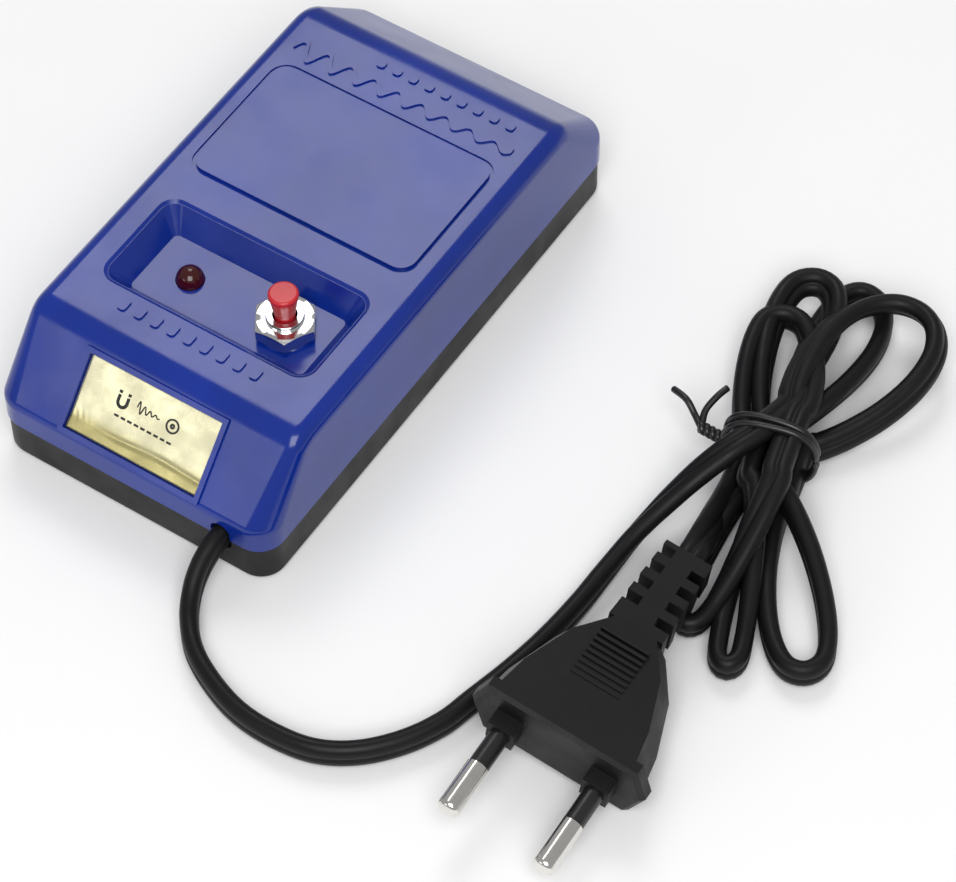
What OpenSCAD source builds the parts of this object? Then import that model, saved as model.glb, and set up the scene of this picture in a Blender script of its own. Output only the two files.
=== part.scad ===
// Mains-powered demagnetizer for watch parts and hand tools, with its cord and plug.
// Millimetres. The origin is the centre of the housing's footprint on the table:
// +X to the right, +Y to the rear, +Z up. The button and the label are at the front.

/* [Housing] */
// Width of the housing
body_w = 57; // [57:0.5:60]
// Length of the housing
body_l = 107.5; // [107:0.5:112]
// Height of the top face above the table
body_h = 27.5; // [27.5:0.5:30]
// Height of the joint between the base and the cover
joint_z = 8.5; // [8:0.25:9]
// Wall thickness of both shells
wall = 2; // [1.8:0.1:2.2]
// Plan radius of the housing's corners
corner_r = 5; // [4.5:0.5:6]
// Radius of the cover's long top edges
edge_r = 3; // [2.5:0.5:3.5]
// Length of the flat top face in front of the origin
flat_front = 38.4; // [37:0.1:40]
// Length of the flat top face behind the origin
flat_rear = 36.6; // [36:0.1:37]

/* [Button recess] */
// Width of the recess at the top face
recess_w = 42.6; // [41:0.1:44]
// Length of the recess at the top face
recess_l = 20.5; // [20:0.1:22]
// Depth of the recess
recess_depth = 4.7; // [4.5:0.1:5]
// How far each drafted wall leans in
recess_lean = 3.4; // [3:0.1:3.6]
// Distance of the recess centre in front of the origin
recess_y = 20.5; // [20:0.1:21]
// Distance of the lamp and of the button from the centre line
control_x = 10; // [9.5:0.1:10.5]

/* [Button] */
// Travel of the button
button_travel = 2; // [1.5:0.1:2]
// Diameter of the button's cap
cap_d = 5.3; // [5:0.1:5.4]
// Thread diameter of the switch's bushing
bushing_d = 7; // [7:0.1:7.2]
// Width across the flats of the switch's nut
nut_af = 10; // [10:0.1:10.5]

/* [Working face] */
// Width of the raised panel over the magnet poles
panel_w = 45.4; // [44:0.1:47]
// Length of the raised panel
panel_l = 28.1; // [27:0.1:29]
// Height of the raised panel above the top face
panel_h = 0.4; // [0.3:0.1:0.5]
// Distance of the panel centre behind the origin
panel_y = 11.3; // [11:0.1:11.6]

/* [Magnet] */
// Width of the E-shaped core
core_w = 40; // [39:0.5:41]
// Thickness of the stack of laminations
stack_l = 16; // [15:0.5:16]
// Number of laminations
lamination_count = 32; // [16:1:40]

/* [Cord and plug] */
// Height of the flat cord's section
cord_w = 5.2; // [5:0.1:5.3]
// Thickness of the flat cord's section
cord_t = 3.2; // [3:0.1:3.3]
// Distance of the cord exit from the centre line
exit_x = 19; // [18.8:0.1:19.2]
// Width of the plug's front face
plug_w = 32.8; // [32:0.1:35]
// Thickness of the plug
plug_t = 13.7; // [13:0.1:14]
// Distance between the two pins
pin_pitch = 17.8; // [17.5:0.1:18]
// Diameter of the pins
pin_d = 4; // [4:0.1:4.2]
// Length of the pins
pin_l = 19; // [18:0.5:20]

/* [Hidden] */

eps = 0.01;
soft_fn = 36;
round_fn = 64;

// Cover form
front_shoulder_r = 6;
rear_shoulder_r = 8;
draft = 0.3;
foot_r = 2.5;
slope_foot_z = joint_z + 4.2;
rear_foot_r = 3;
rear_foot_z = joint_z + 5;
half_w = body_w / 2;
half_l = body_l / 2;

// Front slope: the plane that touches the front shoulder and the slope's foot
shoulder_c = [flat_front, body_h - front_shoulder_r];
foot_c = [half_l - foot_r, slope_foot_z];
slope_run = norm(foot_c - shoulder_c);
slope_tilt = atan2(shoulder_c[1] - foot_c[1], foot_c[0] - shoulder_c[0])
    + asin((front_shoulder_r - foot_r) / slope_run);

// Label
label_w = 27;
label_l = 13.6;
label_t = 0.3;
label_start = 1.2;
label_recess = 0.6;
label_gap = 0.15;
label_frame = 1.1;
label_frame_h = 0.5;

// Raised marks on the cover
mark_h = 0.35;
mark_line = 1.2;
wave_l = 46;
wave_amp = 2.1;
wave_cycles = 9;
wave_decay = 1;
wave_y = panel_y + panel_l / 2 + 4.6;
wave_steps = 96;
dash_count = 9;
dash_pitch = 3.4;
front_dash_l = 2.6;
rear_dash_l = 1.8;
panel_corner_r = 3;
groove_w = 0.7;
groove_depth = 0.3;
rear_dash_y = wave_y + 4.7;
rear_dash_x = 6;
front_dash_y = -recess_y - recess_l / 2 - 3.2;

// Housing fasteners
post_x = 23.8;
post_y = 40;
post_d = 7.6;
boss_d = 5.6;
pilot_d = 2.4;
screw_d = 2.9;
screw_head_d = 5.2;
screw_head_t = 1.8;
screw_hole_d = 3.4;
screw_sink_d = 5.8;
screw_sink_z = 4;
screw_tip_z = 17;
pilot_top_z = 18;

// Base tray
base_inset = 0.3;
base_edge_r = 1.2;
lip_t = 1.1;
lip_h = 1.5;
lip_root = 3;
lip_gap = 0.15;

// Button recess
recess_floor_z = body_h - recess_depth;
recess_floor_t = 1.8;
recess_under_z = recess_floor_z - recess_floor_t;
recess_top_r = 3;
recess_foot_r = 1;
recess_lip = 0.4;

// Lamp
led_d = 5;
led_flange_d = 5.8;
led_flange_t = 1;
led_stand = 0.1;
led_lead_gap = 2.54;
led_lead_t = 0.5;
led_lead_z = 12;
led_lead_top_z = recess_under_z - led_flange_t - 0.05;
part_z = 11.5;
lead_d = 0.6;
resistor_d = 3.2;
resistor_l = 9;
diode_d = 2.7;
diode_l = 5.2;
part_lead_l = 2.2;

// Switch, from the top down
washer_d = 9.6;
washer_t = 0.7;
nut_t = 2.6;
bushing_stand = 0.8;
bushing_bore_d = 4.4;
bushing_root = 2;
nut_z = recess_floor_z + washer_t;
nut_turn = 3;
bushing_top_z = nut_z + nut_t + bushing_stand;
thread_pitch = 0.75;
thread_depth = 0.35;
switch_d = 9.8;
switch_foot_z = 11.5;
switch_bore_d = 8.2;
switch_bore_z = 12.5;
switch_bore_top_z = recess_under_z - bushing_root;
plunger_d = 3.3;
plunger_foot_z = 15.9;
bridge_d = 7.4;
bridge_t = 0.5;
bridge_hole_d = 2;
bridge_z = plunger_foot_z + 0.5;
contact_x = 2.7;
contact_d = 1.6;
contact_z = bridge_z - button_travel - 0.05;
tab_w = 2;
tab_t = 0.5;
tab_foot_z = 7.5;
spring_d = 3.2;
spring_wire = 0.35;
spring_turns = 4;
spring_sides = 8;
spring_steps = 12;
cap_stem_l = 3;
cap_z = bushing_top_z - cap_stem_l;
cap_stem_d = 3.6;
cap_socket_l = 5;
cap_top_z = bushing_top_z + 5.8;
cap_rim = 0.5;
cap_socket_d = 2.2;

// Magnet
core_foot_z = 4.5;
core_top_z = body_h - wall - 1;
yoke_h = 6.5;
centre_leg_w = 13;
outer_leg_w = 6.5;
lamination_gap = 0.04;
bolt_d = 3;
bolt_x = 16.5;
bolt_z = 8.4;
bolt_head_d = 5.5;
bolt_head_t = 2;
bolt_spare = 2.3;
bracket_t = 1;
bracket_foot_l = 9.5;
core_screw_x = 16;
core_screw_out = 5.95;
core_screw_d = 2.6;
core_screw_pilot_d = 2.2;
core_boss_d = 6;
bobbin_wall = 0.9;
bobbin_gap = 0.2;
bobbin_flange_t = 1;
bobbin_foot_z = core_foot_z + yoke_h + bobbin_gap;
bobbin_top_z = core_top_z - bobbin_gap;
window_w = (core_w - centre_leg_w) / 2 - outer_leg_w;
window_h = core_top_z - core_foot_z - yoke_h + eps;
window_z = (core_top_z + core_foot_z + yoke_h) / 2;
flange_w = core_w - 2 * outer_leg_w - 0.6;
flange_l = stack_l + 12;
winding_gap = 0.1;
winding_edge = 0.8;
tape_t = 0.3;
terminal_x = 8;
terminal_d = 0.9;
terminal_y = panel_y - flange_l / 2 - 0.9;

// Cord inside the housing, its clamp and the wires
cord_sides = 12;
exit_gap = 0.35;
clamp_x = 9;
clamp_w = 5;
clamp_y = -42.8;
clamp_span = 8.2;
clamp_t = 2;
clamp_z = joint_z + cord_w / 2 + 0.1;
clamp_screw_d = 2.2;
clamp_pilot_d = 1.8;
clamp_head_d = 4;
clamp_head_t = 1.5;
wire_d = 1.6;
wire_sides = 8;
inner_end = [4, clamp_y, joint_z];
inner_route = [[exit_x, -52, joint_z], [exit_x, -50.5, joint_z], [19, -48, joint_z],
    [17, -45, joint_z], [14, -43.3, joint_z], [11, clamp_y, joint_z], inner_end];
core_split = 1.2;
live_route = [inner_end + [0, 0, core_split], [1, -43, 9.5], [1, -36, 8.5],
    [3, -28, 8], [control_x - contact_x, -21.6, 8]];
neutral_route = [inner_end - [0, 0, core_split], [0, -43, 6.5], [-3, -36, 5.5],
    [-5, -24, 5], [-6, -12, 6], [-7, -6, 8.5], [-7.5, -4, 10]];
switched_route = [[control_x + contact_x, -19.4, 8], [14, -14, 7.5], [13, -8, 8.5],
    [9.5, -4.6, 10]];
lamp_feed_route = [[-8.7, -30.2, 11.5], [-6, -33.5, 9], [0, -34.5, 5.8], [5, -31, 5.4],
    [10.5, -27, 6], [control_x + contact_x, -21.6, 8]];
lamp_return_route = [[-24.6, -20.5, 11.5], [-23.8, -16, 11.3], [-19, -9, 9.5], [-12, -5, 9.5],
    [-9.6, -4, 10]];

// Cord outside the housing: down from the exit, round in one loose bend and past the plug
exit_y = -half_l + wall / 2;
lead_route = [[exit_x, exit_y, joint_z], [exit_x, -56.5, 8.1], [exit_x, -60, 6.2],
    [19.8, -63.5, 4.2], [22, -67.5, 2.9], [26.3, -72, 2.7], [32.5, -75.5, 2.7],
    [39.5, -77.8, 2.7], [47, -78.2, 2.7], [54, -77, 2.7], [60, -73.5, 2.7],
    [65, -68, 2.7], [68.5, -61.5, 2.7], [70.2, -55, 2.7], [72.2, -47, 2.7],
    [73.7, -39, 2.7], [74.6, -30, 2.7], [74.9, -22, 3], [75.6, -14, 4.4],
    [77.8, -7, 6.6], [81.3, -1.4, 8.4]];

// Hank: a rear and a front lobe of loops, tied at the waist
tie_pos = [87, 11];
tie_turn = 14;
hank_h = 11.5;
waist_w = 14;
waist_l = 16;
waist_h = 8.8;
waist_z = 1.4;
waist_gap = 3;
rear_loops = [[79.5, 44, 9.5], [92.5, 44.5, 9.5]];
front_loops = [[101.3, -17.5, 7.2], [108, -16.5, 7.5]];
waist_r = 8;
waist_lobe_gap = 9;
tie_wire = 1.1;
tie_gap = 0.1;
tie_tail_d = 2;
tie_tail_l = 7;

// Plug, in its own frame: the origin is the middle of the pin face, the pins point to -Y.
// It lies on the lower right corner of its front face, its rear held up by the cord.
plug_pos = [88.9, -59, 8.9];
plug_tilt = [3, 8, 1.5];
plug_flange_l = 2.6;
plug_rim_l = 0.8;
plug_taper_y = 8;
plug_neck_y = 24;
plug_neck_w = 12.6;
plug_neck_t = 9.4;
plug_shoulder_w = 30.2;
plug_shoulder_t = 13.6;
plug_chamfer = 2.4;
relief_l = 17.5;
relief_end_w = 8.8;
relief_end_t = 6.8;
slot_count = 4;
slot_w = 1.8;
slot_pitch = 3.6;
slot_y = 3;
slot_reach = 3.6;
grip_count = 9;
grip_pitch = 1.2;
grip_w = 9;
grip_y = 10.5;
grip_root = 1.6;
grip_h = 1.3;
grip_drop = 0.06;
pin_root = 6;
pin_core_d = 3;
sleeve_l = 9.5;
sleeve_d = 3.6;
collar_w = 4.9;
collar_l = 3;

// ---------- Shared shapes ----------

// Catmull-Rom point at t between p[1] and p[2]
function spline_point(p, t) = 0.5 * (2 * p[1] + (p[2] - p[0]) * t
    + (2 * p[0] - 5 * p[1] + 4 * p[2] - p[3]) * t * t
    + (3 * p[1] - p[0] - 3 * p[2] + p[3]) * t * t * t);

// A smooth line through the route's points, with `steps` stretches between two of them
function smooth_route(route, steps) = let (last = len(route) - 1) concat(
    [for (i = [0 : last - 1], s = [0 : steps - 1])
        spline_point([route[max(i - 1, 0)], route[i], route[i + 1], route[min(i + 2, last)]],
            s / steps)],
    [route[last]]);

function unit(v) = v / norm(v);

function turn_x(a, p) = [p.x, p.y * cos(a) - p.z * sin(a), p.y * sin(a) + p.z * cos(a)];

function turn_y(a, p) = [p.x * cos(a) + p.z * sin(a), p.y, p.z * cos(a) - p.x * sin(a)];

function turn_z(a, p) = [p.x * cos(a) - p.y * sin(a), p.x * sin(a) + p.y * cos(a), p.z];

// Where a point of the plug's own frame lies
function from_plug(p) =
    plug_pos + turn_z(plug_tilt.z, turn_y(plug_tilt.y, turn_x(plug_tilt.x, p)));

function heading(path, i) = unit(path[min(i + 1, len(path) - 1)] - path[max(i - 1, 0)]);

// One ring of an oval tube: `across` is measured level, `tall` upright
function ring(centre, ahead, across, tall, sides) = let (
    side = unit(cross(ahead, [0, 0, 1])),
    up = cross(side, ahead))
    [for (k = [0 : sides - 1])
        centre + side * across / 2 * cos(360 * k / sides) + up * tall / 2 * sin(360 * k / sides)];

// A closed tube along a path
module tube(path, across, tall, sides) {
    last = len(path) - 1;
    points = [for (i = [0 : last]) each ring(path[i], heading(path, i), across, tall, sides)];
    walls = [for (i = [0 : last - 1], k = [0 : sides - 1]) let (n = (k + 1) % sides)
        [i * sides + k, i * sides + n, (i + 1) * sides + n, (i + 1) * sides + k]];
    start_cap = [[for (k = [sides - 1 : -1 : 0]) k]];
    end_cap = [[for (k = [0 : sides - 1]) last * sides + k]];
    polyhedron(points, concat(start_cap, walls, end_cap), convexity = 10);
}

module wire(route) tube(smooth_route(route, 2), wire_d, wire_d, wire_sides);

// A rectangle with round corners
module round_rect(w, l, r) {
    square([w - 2 * r, l], center = true);
    square([w, l - 2 * r], center = true);
    for (x = [-1, 1], y = [-1, 1])
        translate([x * (w / 2 - r), y * (l / 2 - r)]) circle(r, $fn = round_fn);
}

// A rectangular ring, l_in and w_in inside
module rect_ring(w_in, l_in, w_out, l_out, h) linear_extrude(h) difference() {
    square([w_out, l_out], center = true);
    square([w_in, l_in], center = true);
}

// A disc with a half-round rim, axis along Z, centred on the origin
module rounded_disc(r, rim) rotate_extrude($fn = soft_fn) intersection() {
    translate([r - rim, 0]) circle(rim, $fn = soft_fn);
    translate([0, -rim]) square([r, 2 * rim]);
}

// A screw pointing up or down its axis: the head lies below the origin
module screw(d, l, head_d, head_t) {
    cylinder(d = d, h = l, $fn = round_fn);
    translate([0, 0, -head_t]) difference() {
        cylinder(d = head_d, h = head_t, $fn = round_fn);
        for (turn = [0, 90]) rotate(turn)
            translate([-head_d * 0.3, -0.3, -eps]) cube([head_d * 0.6, 0.6, head_t / 2]);
    }
}

module at_posts() for (x = [-1, 1], y = [-1, 1]) translate([x * post_x, y * post_y, 0]) children();

module at_core_screws() for (x = [-1, 1], y = [-1, 1])
    translate([x * core_screw_x, panel_y + y * (stack_l / 2 + core_screw_out), 0]) children();

module at_clamp_screws() for (y = [-1, 1])
    translate([clamp_x, clamp_y + y * clamp_span / 2, 0]) children();

// Puts children on the front slope: X across, Y up the slope, Z out of it.
// The origin is the top of the slope, where the shoulder ends.
module on_front_slope() translate([0, -flat_front, body_h - front_shoulder_r])
    rotate([slope_tilt, 0, 0]) translate([0, 0, front_shoulder_r]) children();

// ---------- Housing ----------

// The cover's convex form, drawn in by `inset` on every side
module cover_form(inset) hull() for (x = [-1, 1]) {
    for (end = [[-flat_front, front_shoulder_r], [flat_rear, rear_shoulder_r]])
        translate([x * (half_w - draft - edge_r), end[0], body_h - end[1]]) rotate([0, 90, 0])
            rounded_disc(end[1] - inset, edge_r - inset);
    for (end = [[-1, slope_foot_z, foot_r], [1, rear_foot_z, rear_foot_r]])
        translate([x * (half_w - corner_r), end[0] * (half_l - corner_r), end[1]])
            rounded_disc(corner_r - inset, end[2] - inset);
    for (y = [-1, 1])
        translate([x * (half_w - corner_r), y * (half_l - corner_r), joint_z - inset])
            cylinder(r = corner_r - inset, h = wall, $fn = soft_fn);
}

// The recess as a solid, grown by `grow` on every side but the top
module recess_form(grow) translate([0, -recess_y, 0]) hull() {
    translate([0, 0, body_h]) linear_extrude(eps)
        round_rect(recess_w + 2 * grow, recess_l + 2 * grow, recess_top_r + grow);
    translate([0, 0, recess_floor_z - grow * recess_floor_t / wall]) linear_extrude(eps)
        round_rect(recess_w - 2 * recess_lean + grow, recess_l - 2 * recess_lean + grow,
            recess_foot_r + grow / 2);
}

// The chamfer round the recess's mouth
module recess_mouth() translate([0, -recess_y, body_h - recess_lip]) hull() {
    linear_extrude(eps) round_rect(recess_w - recess_lip, recess_l - recess_lip, recess_top_r);
    translate([0, 0, recess_lip]) linear_extrude(eps)
        round_rect(recess_w + 2 * recess_lip, recess_l + 2 * recess_lip,
            recess_top_r + recess_lip);
}

// A dying wave: the field a demagnetizer makes
function wave_y_at(x) =
    wave_amp * exp(-wave_decay * x / wave_l) * sin(360 * wave_cycles * x / wave_l);

module wave_mark() {
    line = [for (i = [0 : wave_steps]) let (x = i * wave_l / wave_steps) [x, wave_y_at(x)]];
    upper = [for (p = line) p + [0, mark_line / 2]];
    lower = [for (i = [wave_steps : -1 : 0]) line[i] - [0, mark_line / 2]];
    translate([-wave_l / 2, 0]) polygon(concat(upper, lower));
}

// A row of upright bars
module dash_row(dash_l) for (i = [0 : dash_count - 1])
    translate([(i - (dash_count - 1) / 2) * dash_pitch, 0])
        round_rect(dash_pitch * 0.5, dash_l, mark_line / 2);

module top_marks() translate([0, 0, body_h - eps]) linear_extrude(mark_h + eps) {
    translate([0, wave_y]) wave_mark();
    translate([rear_dash_x, rear_dash_y]) dash_row(rear_dash_l);
    translate([0, front_dash_y]) dash_row(front_dash_l);
}

// The groove that sets the raised panel off from the top face
module panel_groove() translate([0, panel_y, body_h - groove_depth])
    linear_extrude(groove_depth + eps) difference() {
        round_rect(panel_w + 2 * groove_w, panel_l + 2 * groove_w, panel_corner_r + groove_w);
        round_rect(panel_w, panel_l, panel_corner_r);
    }

module cord_notch(depth) translate([exit_x, -half_l - 1, joint_z]) rotate([-90, 0, 0])
    linear_extrude(wall + lip_root) {
        square([cord_t + 2 * exit_gap, 2 * depth - cord_t], center = true);
        for (z = [-1, 1]) translate([0, z * (depth - cord_t / 2)])
            circle(d = cord_t + 2 * exit_gap, $fn = round_fn);
    }

module top_cover() color("royalblue") difference() {
    union() {
        difference() {
            cover_form(0);
            cover_form(wall);
            translate([0, 0, joint_z - 10]) linear_extrude(10)
                square([body_w + 2, body_l + 2], center = true);
        }
        intersection() {
            cover_form(0);
            recess_form(wall);
        }
        intersection() {
            cover_form(eps);
            at_posts() translate([0, 0, joint_z + 0.1])
                cylinder(d = boss_d, h = body_h, $fn = round_fn);
        }
        translate([0, panel_y, body_h - eps]) linear_extrude(panel_h + eps)
            round_rect(panel_w, panel_l, panel_corner_r);
        top_marks();
        on_front_slope() translate([0, -label_start - label_l / 2, -wall / 2])
            rect_ring(label_w + 2 * label_gap, label_l + 2 * label_gap,
                label_w + 2 * label_frame, label_l + 2 * label_frame, wall / 2 + label_frame_h);
    }
    panel_groove();
    recess_form(0);
    recess_mouth();
    translate([-control_x, -recess_y, 0]) cylinder(d = led_d + 0.2, h = body_h, $fn = round_fn);
    translate([control_x, -recess_y, 0]) cylinder(d = bushing_d + 0.2, h = body_h, $fn = round_fn);
    at_posts() cylinder(d = pilot_d, h = pilot_top_z, $fn = round_fn);
    on_front_slope() translate([0, -label_start - label_l / 2, -label_recess])
        linear_extrude(label_recess + eps)
            square([label_w + 2 * label_gap, label_l + 2 * label_gap], center = true);
    cord_notch(cord_w / 2 + exit_gap);
}

module base_form() hull() for (x = [-1, 1], y = [-1, 1])
    translate([x * (half_w - corner_r), y * (half_l - corner_r), 0]) {
        translate([0, 0, base_edge_r]) rounded_disc(corner_r - base_inset, base_edge_r);
        translate([0, 0, joint_z - 1]) cylinder(r = corner_r - base_inset, h = 1, $fn = soft_fn);
    }

module base_lip() difference() {
    translate([0, 0, joint_z - lip_root]) linear_extrude(lip_root + lip_h) difference() {
        round_rect(body_w - 2 * (wall + lip_gap), body_l - 2 * (wall + lip_gap), corner_r - wall);
        round_rect(body_w - 2 * (wall + lip_gap + lip_t), body_l - 2 * (wall + lip_gap + lip_t),
            corner_r - wall - lip_t);
    }
    at_posts() translate([0, 0, joint_z]) cylinder(d = boss_d + 1, h = body_h, $fn = round_fn);
}

module base_tray() color("dimgray") difference() {
    union() {
        difference() {
            base_form();
            translate([0, 0, wall]) linear_extrude(joint_z)
                round_rect(body_w - 2 * (base_inset + wall), body_l - 2 * (base_inset + wall),
                    corner_r - wall);
        }
        base_lip();
        intersection() {
            base_form();
            at_posts() cylinder(d = post_d, h = joint_z, $fn = round_fn);
        }
        at_core_screws() translate([0, 0, wall - 1])
            cylinder(d = core_boss_d, h = core_foot_z - wall + 1, $fn = round_fn);
        at_clamp_screws() translate([0, 0, wall - 1])
            cylinder(d = clamp_w - 0.6, h = clamp_z - wall + 1, $fn = round_fn);
        translate([clamp_x - clamp_w / 2, clamp_y - 2, wall - 1])
            cube([clamp_w, 4, joint_z - cord_w / 2 - wall + 0.9]);
    }
    at_posts() {
        translate([0, 0, -1]) cylinder(d = screw_sink_d, h = screw_sink_z + 1, $fn = round_fn);
        cylinder(d = screw_hole_d, h = joint_z + 1, $fn = round_fn);
    }
    at_core_screws() translate([0, 0, 0.8])
        cylinder(d = core_screw_pilot_d, h = core_foot_z, $fn = round_fn);
    at_clamp_screws() translate([0, 0, wall])
        cylinder(d = clamp_pilot_d, h = clamp_z, $fn = round_fn);
    cord_notch(cord_w / 2 + exit_gap);
}

module label_plate() color("palegoldenrod") on_front_slope()
    translate([-label_w / 2, -label_start - label_l, -label_recess]) cube([label_w, label_l, label_t]);

module housing_screws() color("silver") at_posts() translate([0, 0, screw_sink_z])
    screw(screw_d, screw_tip_z - screw_sink_z, screw_head_d, screw_head_t);

// ---------- Magnet ----------

module e_outline() difference() {
    translate([-core_w / 2, core_foot_z]) square([core_w, core_top_z - core_foot_z]);
    for (x = [-1, 1]) {
        translate([x * (core_w / 2 - outer_leg_w + centre_leg_w / 2) / 2, window_z])
            square([window_w, window_h], center = true);
        translate([x * bolt_x, bolt_z]) circle(d = bolt_d + 0.3, $fn = round_fn);
    }
}

module core_laminations() color("slategray") for (i = [0 : lamination_count - 1])
    translate([0, panel_y + stack_l / 2 - i * stack_l / lamination_count, 0]) rotate([90, 0, 0])
        linear_extrude(stack_l / lamination_count - lamination_gap) e_outline();

module coil_bobbin() color("ivory") translate([0, panel_y, 0]) {
    inner_w = centre_leg_w + 2 * bobbin_gap;
    inner_l = stack_l + 2 * bobbin_gap;
    translate([0, 0, bobbin_foot_z]) {
        rect_ring(inner_w, inner_l, inner_w + 2 * bobbin_wall, inner_l + 2 * bobbin_wall,
            bobbin_top_z - bobbin_foot_z);
        rect_ring(inner_w, inner_l, flange_w, flange_l, bobbin_flange_t);
    }
    translate([0, 0, bobbin_top_z - bobbin_flange_t])
        rect_ring(inner_w, inner_l, flange_w, flange_l, bobbin_flange_t);
    translate([0, -flange_l / 2 - 0.8, bobbin_foot_z + bobbin_flange_t / 2])
        cube([2 * terminal_x + 4, 2, bobbin_flange_t], center = true);
}

module around_bobbin(grow, h) {
    inner_w = centre_leg_w + 2 * (bobbin_gap + bobbin_wall + winding_gap);
    inner_l = stack_l + 2 * (bobbin_gap + bobbin_wall + winding_gap);
    outer_w = flange_w - 2 * winding_edge;
    outer_l = flange_l - 2 * winding_edge;
    translate([0, panel_y, (bobbin_foot_z + bobbin_top_z - h) / 2])
        if (grow == 0) rect_ring(inner_w, inner_l, outer_w, outer_l, h);
        else rect_ring(outer_w + eps, outer_l + eps, outer_w + 2 * grow, outer_l + 2 * grow, h);
}

coil_h = bobbin_top_z - bobbin_foot_z - 2 * bobbin_flange_t - 2 * winding_gap;

module coil_winding() color("peru") around_bobbin(0, coil_h);

module coil_tape() color("gold") around_bobbin(tape_t, coil_h);

module coil_terminals() color("goldenrod") for (x = [-1, 1])
    translate([x * terminal_x, terminal_y, bobbin_foot_z - 2.5])
        cylinder(d = terminal_d, h = 6, $fn = round_fn);

// An angle: one leg against the stack, the other screwed to the base. `y` is -1 front, 1 rear
module core_bracket(y) color("lightsteelblue") translate([0, panel_y, core_foot_z])
    mirror([0, y > 0 ? 1 : 0, 0]) translate([0, -stack_l / 2, 0]) difference() {
        union() {
            translate([-core_w / 2, -bracket_t - lamination_gap, 0])
                cube([core_w, bracket_t, yoke_h]);
            translate([-core_w / 2, -bracket_foot_l, 0])
                cube([core_w, bracket_foot_l - lamination_gap, bracket_t]);
        }
        for (x = [-1, 1]) {
            translate([x * bolt_x, -bracket_t * 2, bolt_z - core_foot_z]) rotate([-90, 0, 0])
                cylinder(d = bolt_d + 0.3, h = bracket_t * 3, $fn = round_fn);
            translate([x * core_screw_x, -core_screw_out, -1])
                cylinder(d = core_screw_d + 0.4, h = 3, $fn = round_fn);
        }
    }

module core_bracket_front() core_bracket(-1);

module core_bracket_rear() core_bracket(1);

bolt_head_y = panel_y - stack_l / 2 - bracket_t - lamination_gap - 0.02;

module core_bolts() color("silver") for (x = [-1, 1])
    translate([x * bolt_x, bolt_head_y, bolt_z]) rotate([-90, 0, 0])
        screw(bolt_d, stack_l + 2 * bracket_t + bolt_spare, bolt_head_d, bolt_head_t);

module core_nuts() color("silver") for (x = [-1, 1])
    translate([x * bolt_x, panel_y + stack_l / 2 + bracket_t + lamination_gap + 0.02, bolt_z])
        rotate([-90, 0, 0]) difference() {
            cylinder(d = bolt_head_d / cos(30), h = 2.1, $fn = 6);
            translate([0, 0, -1]) cylinder(d = bolt_d + 0.05, h = 5, $fn = round_fn);
        }

module core_screws() color("silver") at_core_screws()
    translate([0, 0, core_foot_z + bracket_t + 0.02]) rotate([180, 0, 0])
        screw(core_screw_d, 4.3, 5, 1.7);

// ---------- Lamp ----------

module indicator_led() color("darkred") translate([-control_x, -recess_y, 0]) {
    dome_z = recess_floor_z + led_stand;
    translate([0, 0, led_lead_top_z]) cylinder(d = led_flange_d, h = led_flange_t, $fn = round_fn);
    translate([0, 0, recess_under_z - 0.1])
        cylinder(d = led_d, h = dome_z - recess_under_z + 0.1, $fn = round_fn);
    translate([0, 0, dome_z]) sphere(d = led_d, $fn = round_fn);
}

module led_leads() color("silver") for (x = [-1, 1])
    translate([x * led_lead_gap / 2 - control_x, -recess_y, (led_lead_z + led_lead_top_z) / 2])
        cube([led_lead_t, led_lead_t, led_lead_top_z - led_lead_z], center = true);

// A body with a wire at each end, along X and centred on the origin
module axial_part(d, l) rotate([0, 90, 0]) {
    translate([0, 0, -l / 2]) cylinder(d = d, h = l, $fn = round_fn);
    translate([0, 0, -l / 2 - part_lead_l])
        cylinder(d = lead_d, h = l + 2 * part_lead_l, $fn = round_fn);
}

resistor_x = -control_x - led_lead_gap / 2 - part_lead_l - resistor_l / 2;
diode_y = -recess_y - part_lead_l - diode_l / 2 - led_lead_t / 2;

module led_resistor() color("tan") translate([resistor_x, -recess_y, part_z])
    axial_part(resistor_d, resistor_l);

module led_diode() color("black") translate([-control_x + led_lead_gap / 2, diode_y, part_z])
    rotate(90) axial_part(diode_d, diode_l);

// ---------- Switch and button ----------

module at_switch() translate([control_x, -recess_y, 0]) children();

module switch_body() color("black") at_switch() difference() {
    translate([0, 0, switch_foot_z])
        cylinder(d = switch_d, h = recess_under_z - switch_foot_z - 0.02, $fn = round_fn);
    translate([0, 0, switch_bore_z])
        cylinder(d = switch_bore_d, h = switch_bore_top_z - switch_bore_z, $fn = round_fn);
    translate([0, 0, switch_bore_z]) cylinder(d = bushing_d, h = body_h, $fn = round_fn);
    for (x = [-1, 1]) translate([x * contact_x - tab_t / 2, -tab_w / 2, switch_foot_z - 1])
        cube([tab_t, tab_w, 3]);
}

module switch_bushing() color("gainsboro") at_switch() rotate_extrude($fn = round_fn) {
    thread_z = recess_floor_z + washer_t;
    turns = floor((bushing_top_z - thread_z) / thread_pitch);
    polygon(concat(
        [[bushing_bore_d / 2, switch_bore_top_z], [bushing_d / 2 - eps, switch_bore_top_z]],
        [for (i = [0 : turns - 1], s = [0, 1])
            [bushing_d / 2 - eps - s * thread_depth, thread_z + (i + s / 2 + 0.25) * thread_pitch]],
        [[bushing_d / 2 - thread_depth, bushing_top_z], [bushing_bore_d / 2, bushing_top_z]]));
}

module switch_washer() color("gainsboro") at_switch() translate([0, 0, recess_floor_z + eps])
    linear_extrude(washer_t - 2 * eps) difference() {
        circle(d = washer_d, $fn = round_fn);
        circle(d = bushing_d + 0.1, $fn = round_fn);
    }

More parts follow.
